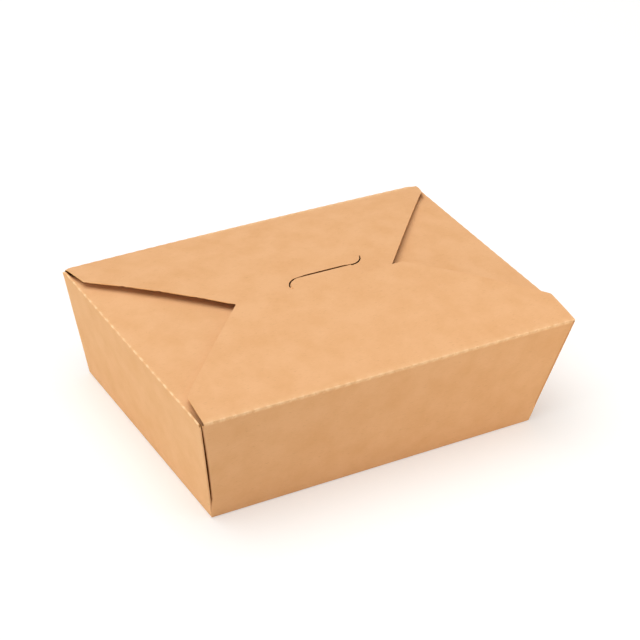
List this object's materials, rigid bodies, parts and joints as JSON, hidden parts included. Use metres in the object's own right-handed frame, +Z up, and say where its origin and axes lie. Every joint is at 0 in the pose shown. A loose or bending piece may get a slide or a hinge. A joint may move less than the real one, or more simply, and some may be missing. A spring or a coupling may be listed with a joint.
{
  "type": "takeaway box",
  "caption": "Folding takeaway food box of kraft paperboard with leaning walls, four top flaps and a tongue that tucks into a lock slit.",
  "frame": {"origin": "middle of the base's underside", "axes": "+Z up, X along the long sides, -Y towards the side with the front flap"},
  "size_m": [0.222, 0.153, 0.0743],
  "materials": {
    "kraft_board": "matt"
  },
  "bodies": {
    "box_body": {"box_body": "kraft_board"},
    "front_flap": {"front_flap": "kraft_board"}
  },
  "joints": [
    {"name": "front_flap_hinge", "type": "hinge", "parent": "box_body", "child": "front_flap", "pos_m": [0, -0.07627, 0.06557], "axis": [1, 0, 0], "range_deg": [0, 180]}
  ]
}
